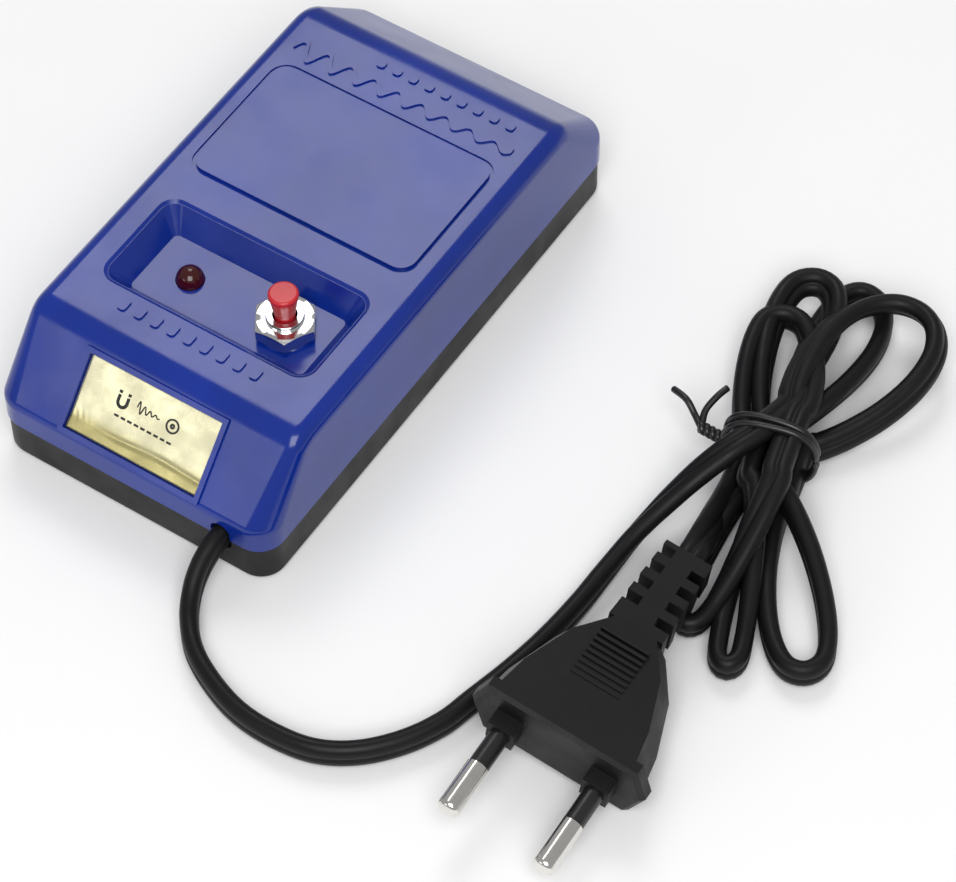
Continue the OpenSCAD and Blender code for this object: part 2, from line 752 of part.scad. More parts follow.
module switch_nut() color("white") at_switch() translate([0, 0, nut_z]) rotate(nut_turn) difference() {
    intersection() {
        cylinder(d = nut_af / cos(30), h = nut_t, $fn = 6);
        rotate_extrude($fn = round_fn) polygon([[0, 0], [nut_af / 2 + 0.8, 0],
            [nut_af / 2 + 0.8, nut_t - 0.45], [nut_af / 2 - 0.1, nut_t], [0, nut_t]]);
    }
    translate([0, 0, -1]) cylinder(d = bushing_d + 0.04, h = nut_t + 2, $fn = round_fn);
}

module switch_terminals() color("goldenrod") at_switch() for (x = [-1, 1])
    translate([x * contact_x, 0, 0]) {
        translate([-tab_t / 2 + 0.02, -tab_w / 2 + 0.02, tab_foot_z])
            cube([tab_t - 0.04, tab_w - 0.04, contact_z - 0.4 - tab_foot_z]);
        translate([0, 0, contact_z - 0.6]) cylinder(d = contact_d, h = 0.6, $fn = round_fn);
    }

module return_spring() color("silver") at_switch() {
    low = switch_bore_z + spring_wire / 2 + 0.02;
    high = bridge_z - spring_wire / 2 - 0.02;
    count = spring_turns * spring_steps;
    tube([for (i = [0 : count]) let (a = 360 * i / spring_steps)
        [spring_d / 2 * cos(a), spring_d / 2 * sin(a), low + (high - low) * i / count]],
        spring_wire, spring_wire, spring_sides);
}

module contact_bridge() color("goldenrod") at_switch() translate([0, 0, bridge_z])
    linear_extrude(bridge_t) difference() {
        circle(d = bridge_d, $fn = round_fn);
        circle(d = bridge_hole_d - eps, $fn = round_fn);
    }

module button_plunger() color("black") at_switch() {
    translate([0, 0, bridge_z + bridge_t])
        cylinder(d = plunger_d, h = cap_z - bridge_z - bridge_t, $fn = round_fn);
    translate([0, 0, plunger_foot_z + 0.1])
        cylinder(d = bridge_hole_d - 0.1, h = cap_z - plunger_foot_z, $fn = round_fn);
    translate([0, 0, cap_z - eps])
        cylinder(d = cap_socket_d - 0.04, h = cap_socket_l, $fn = round_fn);
    translate([0, 0, switch_bore_top_z - 0.9]) cylinder(d = 5.6, h = 0.8, $fn = round_fn);
}

module button_cap() color("crimson") at_switch() rotate_extrude($fn = round_fn) polygon(concat(
    [[0, cap_z + cap_socket_l], [cap_socket_d / 2, cap_z + cap_socket_l],
        [cap_socket_d / 2, cap_z + eps], [cap_stem_d / 2, cap_z + eps],
        [cap_stem_d / 2, bushing_top_z]],
    [for (a = [0 : 15 : 90])
        [cap_d / 2 - cap_rim * (1 - cos(a)), cap_top_z - cap_rim * (1 - sin(a))]],
    [[0, cap_top_z]]));

// ---------- Cord inside, clamp and wires ----------

module cord_inner() color("black") tube(smooth_route(inner_route, 2), cord_t, cord_w, cord_sides);

module cord_clamp() color("white") difference() {
    translate([clamp_x - clamp_w / 2, clamp_y - clamp_span / 2 - 2.2, clamp_z + 0.02])
        cube([clamp_w, clamp_span + 4.4, clamp_t]);
    at_clamp_screws() cylinder(d = clamp_screw_d + 0.3, h = body_h, $fn = round_fn);
}

module clamp_screws() color("silver") at_clamp_screws() translate([0, 0, clamp_z + clamp_t + 0.04])
    rotate([180, 0, 0]) screw(clamp_screw_d, 6, clamp_head_d, clamp_head_t);

module wire_live() color("saddlebrown") wire(live_route);

module wire_neutral() color("dodgerblue") wire(neutral_route);

module wire_switched() color("saddlebrown") wire(switched_route);

module wire_lamp_feed() color("red") wire(lamp_feed_route);

module wire_lamp_return() color("red") wire(lamp_return_route);

// ---------- Cord outside ----------

module cord_lead() color("black") tube(smooth_route(lead_route, 3), cord_t, cord_w, cord_sides);

module cord_tail() color("black") tube(smooth_route(tail_route, 3), cord_t, cord_w, cord_sides);

module at_tie() translate([tie_pos.x, tie_pos.y, 0]) rotate(tie_turn) children();

// One lobe: the loops' ends joined to the waist
module hank_lobe(loops, side) hull() {
    for (loop = loops) translate([loop[0], loop[1]]) circle(loop[2], $fn = soft_fn);
    at_tie() translate([0, side * waist_lobe_gap]) circle(waist_r, $fn = soft_fn);
}

module cord_hank() color("black") {
    linear_extrude(hank_h) difference() {
        union() {
            hank_lobe(rear_loops, 1);
            hank_lobe(front_loops, -1);
        }
        at_tie() square([4 * waist_r, waist_gap], center = true);
    }
    at_tie() translate([0, 0, waist_z + waist_h / 2])
        cube([waist_w, waist_l, waist_h], center = true);
}

module twist_tie() color("black") at_tie() {
    inner_w = waist_w + 2 * tie_gap;
    inner_h = waist_h + 2 * tie_gap;
    translate([0, tie_wire / 2, waist_z + waist_h / 2]) rotate([90, 0, 0])
        rect_ring(inner_w, inner_h, inner_w + 2 * tie_wire, inner_h + 2 * tie_wire, tie_wire);
    translate([-(inner_w + tie_wire) / 2, 0, waist_z + waist_h]) rotate([0, -60, 40])
        cylinder(d = tie_tail_d, h = tie_tail_l, $fn = soft_fn);
}

// ---------- Plug ----------

module in_plug() translate(plug_pos) rotate(plug_tilt) children();

// A flat six-sided slice of the plug at distance y behind the pin face
module plug_slice(w, t, y) translate([0, y, 0]) rotate([-90, 0, 0]) linear_extrude(eps)
    polygon([[-w / 2, 0], [-w / 2 + plug_chamfer, -t / 2], [w / 2 - plug_chamfer, -t / 2],
        [w / 2, 0], [w / 2 - plug_chamfer, t / 2], [-w / 2 + plug_chamfer, t / 2]]);

module plug_flange() hull() {
    plug_slice(plug_w - 2 * plug_rim_l, plug_t - plug_rim_l, 0);
    plug_slice(plug_w, plug_t, plug_rim_l);
    plug_slice(plug_w, plug_t, plug_flange_l);
}

module plug_taper() hull() {
    plug_slice(plug_shoulder_w, plug_shoulder_t, plug_flange_l - 0.5);
    plug_slice(plug_shoulder_w - 2, plug_shoulder_t - 0.3, plug_taper_y);
    plug_slice(plug_neck_w + 9, plug_neck_t + 2, plug_neck_y - 6.5);
    plug_slice(plug_neck_w, plug_neck_t, plug_neck_y);
}

// The square collars the pins stand in
module pin_collars() for (x = [-1, 1]) translate([x * pin_pitch / 2, -collar_l / 2, 0])
    cube([collar_w, collar_l + eps, collar_w], center = true);

// Ribs across both broad faces, each a little lower than the one before it
module grip_ribs() for (i = [0 : grip_count - 1], z = [0, 1]) mirror([0, 0, z])
    translate([-grip_w / 2, grip_y + i * grip_pitch, plug_t / 2 - grip_root])
        cube([grip_w, grip_pitch / 2, grip_h - i * grip_drop]);

module plug_body() color("black") in_plug() difference() {
    union() {
        plug_flange();
        plug_taper();
        pin_collars();
        grip_ribs();
    }
    for (x = [-1, 1]) pin_axis(x) {
        translate([0, 0, -pin_root]) cylinder(d = pin_core_d, h = pin_root, $fn = round_fn);
        translate([0, 0, -0.5]) cylinder(d = sleeve_d + 0.04, h = 4, $fn = round_fn);
    }
}

relief_y = plug_neck_y + 2 * eps;
tail_route = [from_plug([0, relief_y + relief_l + 2 * eps, 0]),
    from_plug([0, relief_y + relief_l + 3, 0]), [85.4, -9, 10.2], [83.8, -5.6, 9]];

module relief_slice(w, t, y) translate([-w / 2, y, -t / 2]) cube([w, eps, t]);

module plug_relief() color("black") in_plug() translate([0, relief_y, 0]) difference() {
    hull() {
        relief_slice(plug_neck_w - 2.4, plug_neck_t - 0.6, 0);
        relief_slice(relief_end_w, relief_end_t, relief_l);
    }
    for (i = [0 : slot_count - 1], x = [-1, 1])
        translate([x * (relief_end_w / 2 + 1.2), slot_y + (i + (x > 0 ? 0 : 0.5)) * slot_pitch, 0])
            cube([2 * slot_reach, slot_w, plug_t], center = true);
}

// The axis of one pin, pointing out of the plug
module pin_axis(x) translate([x * pin_pitch / 2, 0, 0]) rotate([90, 0, 0]) children();

module pin_sleeves() color("black") in_plug() for (x = [-1, 1]) pin_axis(x)
    linear_extrude(sleeve_l) difference() {
        circle(d = sleeve_d, $fn = round_fn);
        circle(d = pin_core_d, $fn = round_fn);
    }

module plug_pins() color("silver") in_plug() for (x = [-1, 1]) pin_axis(x) {
    translate([0, 0, -pin_root + 0.1])
        cylinder(d = pin_core_d - 0.02, h = pin_root + sleeve_l, $fn = round_fn);
    translate([0, 0, sleeve_l + 0.02]) cylinder(d = pin_d, h = pin_l - sleeve_l - 1, $fn = round_fn);
    translate([0, 0, pin_l - 1]) rotate_extrude($fn = round_fn)
        polygon(concat([[0, 0]], [for (a = [0 : 15 : 90]) [pin_d / 2 - 1 + cos(a), sin(a)]], [[0, 1]]));
}

top_cover();
base_tray();
label_plate();
housing_screws();
core_laminations();
coil_bobbin();
coil_winding();
coil_tape();
coil_terminals();
core_bracket_front();
core_bracket_rear();
core_bolts();
core_nuts();
core_screws();
indicator_led();
led_leads();
led_resistor();
led_diode();
switch_body();
switch_bushing();
switch_washer();
switch_nut();
switch_terminals();
return_spring();
contact_bridge();
button_plunger();
button_cap();
cord_clamp();
clamp_screws();
cord_inner();
wire_live();
wire_neutral();
wire_switched();
wire_lamp_feed();
wire_lamp_return();
cord_lead();
cord_hank();
cord_tail();
twist_tie();
plug_body();
plug_relief();
pin_sleeves();
plug_pins();
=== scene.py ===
"""Looks for the demagnetizer: its cord, tie and printed label, the materials, floor, lights and camera."""

import math

import bpy
from mathutils import Euler, Matrix, Quaternion, Vector


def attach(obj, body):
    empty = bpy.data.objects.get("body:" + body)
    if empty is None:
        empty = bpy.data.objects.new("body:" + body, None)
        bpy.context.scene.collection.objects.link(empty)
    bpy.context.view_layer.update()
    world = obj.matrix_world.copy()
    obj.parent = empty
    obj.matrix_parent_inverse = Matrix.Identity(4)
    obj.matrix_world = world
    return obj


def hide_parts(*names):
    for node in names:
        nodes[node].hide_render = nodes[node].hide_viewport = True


MM = 0.001
BODY = "housing"

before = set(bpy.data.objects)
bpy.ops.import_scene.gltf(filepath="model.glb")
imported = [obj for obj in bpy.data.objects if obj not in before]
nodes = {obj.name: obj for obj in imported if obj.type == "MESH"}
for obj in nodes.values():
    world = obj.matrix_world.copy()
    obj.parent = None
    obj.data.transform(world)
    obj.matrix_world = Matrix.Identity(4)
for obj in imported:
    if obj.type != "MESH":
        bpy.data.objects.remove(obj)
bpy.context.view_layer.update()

# ---------- Facts shared with part.scad, in millimetres ----------

CORD_W = 5.2
CORD_T = 3.2
TIE_POS = Vector((87, 11, 0))
TIE_TURN = math.radians(14)
PLUG_POS = Vector((88.9, -59, 8.9))
PLUG_TILT = Euler([math.radians(a) for a in (3, 8, 1.5)], "XYZ")
RELIEF_END = 24 + 17.5
LABEL_W = 27
LABEL_L = 13.6


# ---------- Geometry helpers ----------


def spline(points, per_span):
    """A Catmull-Rom line through the points, each a Vector of any size."""
    line = []
    last = len(points) - 1
    for i in range(last):
        a, b = points[max(i - 1, 0)], points[i]
        c, d = points[i + 1], points[min(i + 2, last)]
        for s in range(per_span):
            t = s / per_span
            line.append(
                0.5
                * (
                    2 * b
                    + (c - a) * t
                    + (2 * a - 5 * b + 4 * c - d) * t**2
                    + (3 * b - a - 3 * c + d) * t**3
                )
            )
    line.append(points[last])
    return line


def evenly(line, step):
    """The same line with its points `step` apart, measured on the first three coordinates."""
    walked = [0.0]
    for a, b in zip(line, line[1:]):
        walked.append(walked[-1] + (b.xyz - a.xyz).length)
    count = max(2, round(walked[-1] / step))
    spaced = []
    i = 0
    for k in range(count + 1):
        at = walked[-1] * k / count
        while i < len(line) - 2 and walked[i + 1] < at:
            i += 1
        span = walked[i + 1] - walked[i]
        spaced.append(line[i].lerp(line[i + 1], (at - walked[i]) / span if span else 0))
    return spaced


def mesh_piece(name, vertices, faces, smooth=True):
    """A mesh object from millimetre vertices."""
    mesh = bpy.data.meshes.new(name)
    mesh.from_pydata([Vector(v) * MM for v in vertices], [], faces)
    mesh.polygons.foreach_set("use_smooth", [smooth] * len(mesh.polygons))
    mesh.update()
    piece = bpy.data.objects.new(name, mesh)
    bpy.context.scene.collection.objects.link(piece)
    return piece


def sweep(line, section, closed=False):
    """Vertices and faces of a section swept along a line of (x, y, z, turn) points.

    The section's first axis is level and its second upright where turn, in degrees, is 0.
    """
    vertices = []
    sides = len(section)
    last = len(line) - 1
    for i, point in enumerate(line):
        after = line[(i + 1) % len(line)] if closed else line[min(i + 1, last)]
        before = line[i - 1] if closed else line[max(i - 1, 0)]
        ahead = (after.xyz - before.xyz).normalized()
        side = ahead.cross(Vector((0, 0, 1))).normalized()
        up = side.cross(ahead)
        turn = Matrix.Rotation(math.radians(point[3]), 3, ahead)
        vertices += [point.xyz + turn @ (side * x + up * z) for x, z in section]
    rings = len(line)
    faces = []
    for i in range(rings if closed else rings - 1):
        for k in range(sides):
            n, j = (k + 1) % sides, (i + 1) % rings
            faces.append((i * sides + k, i * sides + n, j * sides + n, j * sides + k))
    if not closed:
        faces.append(tuple(range(sides - 1, -1, -1)))
        faces.append(tuple((rings - 1) * sides + k for k in range(sides)))
    return vertices, faces


def circle(radius, sides):
    return [
        (radius * math.cos(a), radius * math.sin(a))
        for a in (2 * math.pi * k / sides for k in range(sides))
    ]


def in_plug(x, y, z):
    return PLUG_POS + PLUG_TILT.to_matrix() @ Vector((x, y, z))


def at_waist(across, along, height):
    """A point of the hank's waist: across it, along it to the rear, and up."""
    return TIE_POS + Matrix.Rotation(TIE_TURN, 3, "Z") @ Vector((across, along, height))


# ---------- The cord ----------

# The strands in the hank's waist lie in slots, each (across, height)
WAIST_HALF = 5.5
FLAT_SLOT = (3.1, 13.1)
LOW_SLOTS = [(-5.1, 3.7), (-1.7, 3.7), (1.7, 3.7), (5.1, 3.7)]
HIGH_SLOTS = [(-1.9, 8.9), (1.9, 8.9)]

PETAL_STEPS = 14
PETAL_FOOT = 0.09
SWELL_PEAK = 0.77
BLUNTEST = 0.25
BLUNT_WIDTH = 10

GROOVE_DEPTH = 0.32
GROOVE_HALF = 0.34
MESH_STEP = 0.8


def waist_end(slot, end):
    """Where a strand in this slot leaves the waist, end being -1 at the front and 1 at the rear."""
    return at_waist(slot[0], end * WAIST_HALF, slot[1])


def petal(start, end, tip, first_side, widths, turns=(0, 0, 0)):
    """A loop from start round tip to end, as (x, y, z, turn) points without its two ends.

    first_side is 1 when the first strand is the right one seen from the waist, widths are how
    far the left and the right strand bulge, and turns are the twist at start, tip and end. A
    narrow loop is blunter, so that its tip stays round.
    """
    foot = (start + end) / 2
    axis = Vector((tip[0] - foot.x, tip[1] - foot.y, 0))
    right = axis.cross(Vector((0, 0, 1))).normalized()
    blunt = min(1, BLUNTEST + max(widths) / BLUNT_WIDTH)
    points = []
    for k in range(1, PETAL_STEPS):
        t = PETAL_FOOT + (1 - 2 * PETAL_FOOT) * (k - 1) / (PETAL_STEPS - 2)
        out = math.sin(math.pi * t) ** 2
        swell = math.sin(2 * math.pi * t) * math.sin(math.pi * t) / SWELL_PEAK
        bulge = math.copysign(abs(swell) ** blunt, swell) * first_side
        width = widths[1] if bulge > 0 else widths[0]
        base = start.lerp(end, t * t * (3 - 2 * t))
        flat = Vector((base.x, base.y, 0)) + axis * out + right * bulge * width
        near, near_turn = (start, turns[0]) if t < 0.5 else (end, turns[2])
        ease = out * out * (3 - 2 * out)
        z = near.z + (tip[2] - near.z) * ease
        turn = near_turn + (turns[1] - near_turn) * ease
        points.append(Vector((flat.x, flat.y, z, turn)))
    return points


# From the housing to the hank, as (x, y, z, turn)
LEAD = [
    (19, -52.75, 8.5, 0), (19, -56.5, 8.1, 0), (19, -60, 6.2, 0), (19.8, -63.5, 4.2, 0),
    (22, -67.5, 2.9, 0), (26.3, -72, 2.7, 0), (32.5, -75.5, 2.7, 0), (39.5, -77.8, 2.7, 0),
    (47, -78.2, 2.7, 0), (54, -77, 2.7, 0), (60, -73.5, 2.7, 0), (65, -68, 2.7, 0),
    (68.5, -61.5, 2.7, 0), (70.2, -55, 2.7, 0), (72.2, -47, 2.7, 0), (73.7, -39, 2.7, 0),
    (74.6, -30, 2.7, 0), (74.9, -22, 3, 5), (75.6, -14, 4.4, 20), (77.4, -7, 7, 45),
    (80, -0.5, 10.4, 68), (82.8, 5.5, 12.9, 80), (85.2, 12, 13.3, 84), (86.2, 19, 12.2, 80),
]  # fmt: skip


def route():
    """The whole cord from the housing to the plug: the lead, the tied loops, the tail."""
    low, high = LOW_SLOTS, HIGH_SLOTS
    points = [Vector(p) for p in LEAD]
    # Each loop: its two slots, the end of the waist, then tip, side, widths and turns of petal()
    loops = [
        (points.pop().xyz, low[3], 1, (94, 51.6, 8.2), -1, (7.6, 7.4), (80, 25, 30)),
        (low[3], high[1], -1, (113.3, -20.8, 2.7), 1, (5.6, 5.6), (0, 0, 0)),
        (high[1], low[2], 1, (82, 53.8, 2.7), 1, (5, 6.3), (15, 0, 0)),
        (low[2], high[0], -1, (101.7, -27, 2.7), 1, (3, 2.9), (0, 0, 20)),
        (high[0], low[1], 1, (74.8, 49, 6.4), 1, (5.4, 4.9), (0, 45, 0)),
        (low[1], FLAT_SLOT, -1, (91.9, -24, 3.6), 1, (1.8, 1.5), (0, 10, 84)),
        (FLAT_SLOT, low[0], 1, (73.6, 39.6, 6), 1, (3.3, 3), (84, 0, 0)),
    ]
    for first, second, end, tip, side, widths, turns in loops:
        start = first if isinstance(first, Vector) else waist_end(first, end)
        finish = waist_end(second, end)
        points.append(Vector((*start, turns[0])))
        points += petal(start, finish, tip, side, widths, turns)
        points.append(Vector((*finish, turns[2])))
    points.append(Vector((*waist_end(low[0], -1), 0)))
    points.append(Vector((85.6, -5, 6.4, 30)))
    points.append(Vector((87.2, -11, 9.2, 65)))
    points.append(Vector((*in_plug(0, RELIEF_END + 2.5, 0), 86)))
    points.append(Vector((*in_plug(0, RELIEF_END - 1, 0), 90)))
    return spline(points, 8)


def cord_section():
    """A flat twin cord: round edges, flat faces and a shallow groove down each of them."""
    edge = CORD_T / 2
    straight = CORD_W / 2 - edge
    right = [
        (edge - GROOVE_DEPTH * math.exp(-((z / GROOVE_HALF) ** 2)), z)
        for z in (straight * (k / 4 - 1) for k in range(9))
    ]
    top = [
        (edge * math.cos(a), straight + edge * math.sin(a))
        for a in (math.pi * k / 8 for k in range(1, 8))
    ]
    half = right + top
    return half + [(-x, -z) for x, z in half]


cord_route = route()
cord = mesh_piece("flex_cord", *sweep(evenly(cord_route, MESH_STEP), cord_section()))
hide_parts("cord_lead", "cord_hank", "cord_tail")


# ---------- The twist tie ----------

TIE_R = 0.62
TIE_CENTRE_Z = 7.9
TIE_HALF = (8.1, 7.2)
TIE_SQUARENESS = 0.75
RING_STEPS = 64
TURN_STEPS = 12


def tie_ring(along, tilt):
    """One closed turn of the tie round the waist, at a distance along it and tilted a little."""
    line = []
    for k in range(RING_STEPS):
        a = 2 * math.pi * k / RING_STEPS
        x = TIE_HALF[0] * math.copysign(abs(math.cos(a)) ** TIE_SQUARENESS, math.cos(a))
        z = TIE_HALF[1] * math.copysign(abs(math.sin(a)) ** TIE_SQUARENESS, math.sin(a))
        line.append(at_waist(x, along + tilt * x, TIE_CENTRE_Z + z).to_4d())
    return line


def tie_tail(points):
    return evenly(spline([Vector((*at_waist(*p), 0)) for p in points], 6), 0.5)


def twisted_pair(start, end, radius, turns):
    """Two wires wound round each other between two points of the waist's frame."""
    start, end = at_waist(*start), at_waist(*end)
    ahead = (end - start).normalized()
    side = ahead.orthogonal().normalized()
    other = ahead.cross(side)
    steps = TURN_STEPS * turns
    lines = []
    for phase in (0, math.pi):
        line = []
        for k in range(steps + 1):
            a = 2 * math.pi * turns * k / steps + phase
            offset = (side * math.cos(a) + other * math.sin(a)) * radius
            line.append((start.lerp(end, k / steps) + offset).to_4d())
        lines.append(line)
    return lines


def join_meshes(parts):
    vertices, faces = [], []
    for more_vertices, more_faces in parts:
        base = len(vertices)
        vertices += more_vertices
        faces += [tuple(base + i for i in face) for face in more_faces]
    return vertices, faces


tie_wire = circle(TIE_R, 10)
knot = twisted_pair((-8.3, 0.2, 8.5), (-12.6, 1.6, 8.2), TIE_R * 0.95, 2)
tails = [
    tie_tail([(-12.4, 1.4, 8.2), (-14.2, 3.6, 8.4), (-16.3, 5.4, 9.6), (-19.2, 7.4, 8.8)]),
    tie_tail([(-12.4, 1.8, 8.2), (-12.6, 4.4, 9.2), (-11.4, 7.2, 10.2), (-10.2, 9.4, 10.4)]),
]
rings = [tie_ring(0.3, 0.05), tie_ring(1.9, -0.03)]
tie = mesh_piece(
    "tie_wire",
    *join_meshes(
        [sweep(ring, tie_wire, closed=True) for ring in rings]
        + [sweep(line, tie_wire) for line in knot + tails]
    ),
)
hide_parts("twist_tie")


# ---------- The label: a buckled foil with plain signs printed on it ----------

FOIL_T = 0.25
FOIL_STEPS = (72, 48)
FOIL_SINK = 0.12
FOLD_Y = -4.4
# How far above the fold the painted fold shade runs out, in millimetres
FOLD_SHADE_SPAN = 1.8
CREASE_DEPTH = 0.1
CREASE_HALF = 0.42
CREASE_START = -9
CREASE_GROWTH = 5
EDGE_LIFT = 0.075
SCUFF_AT = (-11.5, -5)
SCUFF_HEIGHT = 0.05
PRINT_T = 0.04

plate = nodes["label_plate"].data
slope_normal = max(plate.polygons, key=lambda p: p.area if p.normal.z > 0.1 else 0).normal
slope_up = slope_normal.cross(Vector((1, 0, 0)))
outermost = max(v.co.dot(slope_normal) for v in plate.vertices)
corners = [v.co for v in plate.vertices if v.co.dot(slope_normal) > outermost - MM / 100]
label_centre = sum(corners, Vector()) / len(corners) / MM


def buckle(x, y):
    """How far the foil stands off its plane: waves, a crease, a lifted lower edge, a scuff."""
    waves = 0.03 * math.sin(0.43 * x + 0.9) * math.sin(0.5 * y) + 0.012 * math.sin(1.3 * x - 0.8 * y)
    fold = FOLD_Y + 0.25 * math.sin(0.31 * x)
    reach = min(max((x - CREASE_START) / CREASE_GROWTH, 0), 1)
    crease = -CREASE_DEPTH * reach * math.exp(-(((y - fold) / CREASE_HALF) ** 2))
    lift = EDGE_LIFT * max(0, fold - y)
    scuff_off = (x - SCUFF_AT[0]) ** 2 + (y - SCUFF_AT[1]) ** 2
    scuff = SCUFF_HEIGHT * math.sin(5 * x + 2 * y) * math.exp(-scuff_off / 3)
    return waves + crease + lift + scuff - FOIL_SINK


def on_label(x, y, height=0.0):
    """A point x across the label, y up it and height above the foil's surface."""
    across = Vector((1, 0, 0)) * x
    return label_centre + across + slope_up * y + slope_normal * (buckle(x, y) + height)


def foil_label():
    """The buckled foil as a grid of points, thickened behind its face."""
    columns, rows = FOIL_STEPS
    vertices = [
        on_label(LABEL_W * (i / columns - 0.5), LABEL_L * (j / rows - 0.5))
        for j in range(rows + 1)
        for i in range(columns + 1)
    ]
    faces = []
    for j in range(rows):
        for i in range(columns):
            corner = j * (columns + 1) + i
            faces.append((corner, corner + 1, corner + columns + 2, corner + columns + 1))
    foil = mesh_piece("foil_label", vertices, faces)
    thicken = foil.modifiers.new("thickness", "SOLIDIFY")
    thicken.thickness = FOIL_T * MM
    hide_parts("label_plate")
    return foil


def ribbon(points, width):
    """Vertices and faces of a printed line along the label's (x, y) points."""
    vertices = []
    last = len(points) - 1
    for i, point in enumerate(points):
        ahead = Vector(points[min(i + 1, last)]) - Vector(points[max(i - 1, 0)])
        side = Vector((-ahead.y, ahead.x)).normalized() * width / 2
        for edge in (side, -side):
            x, y = Vector(point) + edge
            vertices += [on_label(x, y, PRINT_T), on_label(x, y, -PRINT_T)]
    faces = [(0, 1, 3, 2), (4 * last, 4 * last + 2, 4 * last + 3, 4 * last + 1)]
    for i in range(0, 4 * last, 4):
        for a, b in ((0, 2), (2, 3), (3, 1), (1, 0)):
            faces.append((i + a, i + b, i + b + 4, i + a + 4))
    return vertices, faces


def arc(x, y, radius, first, last, steps=20):
    """Points round (x, y) from one angle to another, in degrees."""
    angles = [math.radians(first + (last - first) * k / steps) for k in range(steps + 1)]
    return [(x + radius * math.cos(a), y + radius * math.sin(a)) for a in angles]


def magnet_sign(x, y):
    """A horseshoe magnet, open at the top, with its two pole tips set off by a gap."""
    legs, radius, width = 1.1, 0.9, 0.6
    gap, tip_end = y + legs + 0.25, y + legs + 0.8
    bend = [(x - radius, y + legs)] + arc(x, y, radius, 180, 360) + [(x + radius, y + legs)]
    tips = [[(leg_x, gap), (leg_x, tip_end)] for leg_x in (x - radius, x + radius)]
    return [ribbon(line, width) for line in [bend] + tips]


def wave_sign(x, y):
    """A wave that dies away to the right."""
    steps, length, height = 60, 4.6, 1.3
    points = []
    for k in range(steps + 1):
        t = k / steps
        swing = math.exp(-2 * t) * math.sin(8 * math.pi * t)
        points.append((x + length * (t - 0.5), y + height * swing))
    return [ribbon(points, 0.24)]


def ring_sign(x, y):
    """A ring round a dot."""
    return [ribbon(arc(x, y, 1.15, 0, 360, 40), 0.35), ribbon(arc(x, y, 0.3, 0, 360, 16), 0.4)]


def bar_row(x, y, count):
    pitch, half, width = 1.35, 0.45, 0.4
    bars = []
    for k in range(count):
        middle = x + (k - (count - 1) / 2) * pitch
        bars.append(ribbon([(middle - half, y), (middle, y), (middle + half, y)], width))
    return bars


label = foil_label()
signs = magnet_sign(-5.2, 1.6) + wave_sign(0, 2.1) + ring_sign(5, 2)
label_print = mesh_piece("label_print", *join_meshes(signs + bar_row(0, -0.9, 9)), smooth=False)


# ---------- Smoother shading for the pieces that come from CAD ----------

CREASE_ANGLE = math.radians(26)
WELD = 0.002 * MM


def weld_and_smooth():
    """Node group that welds a loaded mesh and shades it smooth but at its sharp edges."""
    tree = bpy.data.node_groups.new("weld_and_smooth", "GeometryNodeTree")
    for way in ("INPUT", "OUTPUT"):
        tree.interface.new_socket("Geometry", in_out=way, socket_type="NodeSocketGeometry")

    def step(kind, source, **inputs):
        node = tree.nodes.new(kind)
        tree.links.new(source.outputs["Geometry"], node.inputs["Geometry"])
        for socket, value in inputs.items():
            node.inputs[socket.replace("_", " ")].default_value = value
        return node

    plain = step("GeometryNodeRemoveAttribute", tree.nodes.new("NodeGroupInput"), Name="custom_normal")
    welded = step("GeometryNodeMergeByDistance", plain, Distance=WELD)
    smooth = step("GeometryNodeSetShadeSmooth", welded, Shade_Smooth=True)
    sharp = step("GeometryNodeSetShadeSmooth", smooth, Shade_Smooth=False)
    sharp.domain = "EDGE"
    compare = tree.nodes.new("FunctionNodeCompare")
    compare.operation = "GREATER_THAN"
    compare.inputs["B"].default_value = CREASE_ANGLE
    angle = tree.nodes.new("GeometryNodeInputMeshEdgeAngle")
    tree.links.new(angle.outputs["Unsigned Angle"], compare.inputs["A"])
    tree.links.new(compare.outputs["Result"], sharp.inputs["Selection"])
    out = tree.nodes.new("NodeGroupOutput")
    tree.links.new(sharp.outputs["Geometry"], out.inputs["Geometry"])
    return tree


smoother = weld_and_smooth()
for node in nodes.values():
    node.modifiers.new("weld_and_smooth", "NODES").node_group = smoother
    even = node.modifiers.new("even_shading", "WEIGHTED_NORMAL")
    even.keep_sharp = True


# ---------- Camera, floor and light ----------

AZIMUTH = math.radians(33.97)
ELEVATION = math.radians(53.45)
ROLL = math.radians(-0.9)
CAMERA_TARGET = Vector((0.0408, -0.0086, 0))
CAMERA_DISTANCE = 0.6562

camera_data = bpy.data.cameras.new("camera")
camera_data.sensor_width = 36
camera_data.lens = 142.83
camera_data.clip_start = 0.01
camera = bpy.data.objects.new("camera", camera_data)
back = Vector(
    (
        math.sin(AZIMUTH) * math.cos(ELEVATION),
        -math.cos(AZIMUTH) * math.cos(ELEVATION),
        math.sin(ELEVATION),
    )
)
camera.rotation_mode = "QUATERNION"
camera.location = CAMERA_TARGET + back * CAMERA_DISTANCE
camera.rotation_quaternion = (-back).to_track_quat("-Z", "Y") @ Quaternion((0, 0, 1), ROLL)
bpy.context.scene.collection.objects.link(camera)
bpy.context.scene.camera = camera


def area_light(name, location, size, power, colour=(1, 1, 1), target=(0.03, 0, 0.01)):
    data = bpy.data.lights.new(name, "AREA")
    data.shape = "RECTANGLE"
    data.size, data.size_y = size
    data.energy = power
    data.color = colour
    light = bpy.data.objects.new(name, data)
    light.location = location
    aim = Vector(target) - light.location
    light.rotation_mode = "QUATERNION"
    light.rotation_quaternion = aim.to_track_quat("-Z", "Y")
    bpy.context.scene.collection.objects.link(light)


def softbox(name, direction, distance, size, radiance, target):
    """A square-on area light whose face has the given brightness seen from the target."""
    place = Vector(target) + Vector(direction).normalized() * distance
    area_light(name, place, size, radiance * math.pi * size[0] * size[1], target=target)


def mirrored(normal):
    """Where a ray from the camera goes after a face with that normal."""
    return 2 * normal.dot(back) * normal - back


